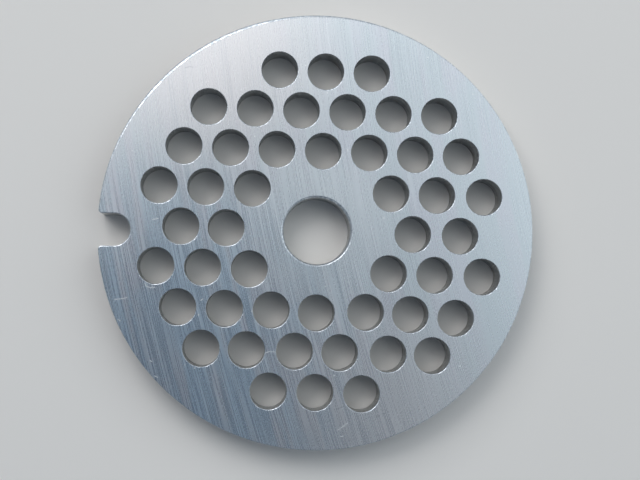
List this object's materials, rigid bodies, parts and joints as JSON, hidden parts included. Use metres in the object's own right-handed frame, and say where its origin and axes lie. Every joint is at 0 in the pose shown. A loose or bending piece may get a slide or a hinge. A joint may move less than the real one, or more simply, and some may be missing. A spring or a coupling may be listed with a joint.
{
  "type": "meat grinder plate",
  "caption": "Flat round steel plate with a wide ring of drilled holes, a central bore and a round-ended key notch in its rim, through which a meat grinder presses meat.",
  "frame": {"origin": "on the bore's axis, at the underside that the plate lies on", "axes": "+Z along the bore and away from the underside, -X from the bore to the key notch"},
  "size_m": [0.0619, 0.062, 0.005],
  "materials": {
    "ground_steel": "ground"
  },
  "bodies": {
    "root": {"grinder_plate": "ground_steel"}
  },
  "joints": []
}
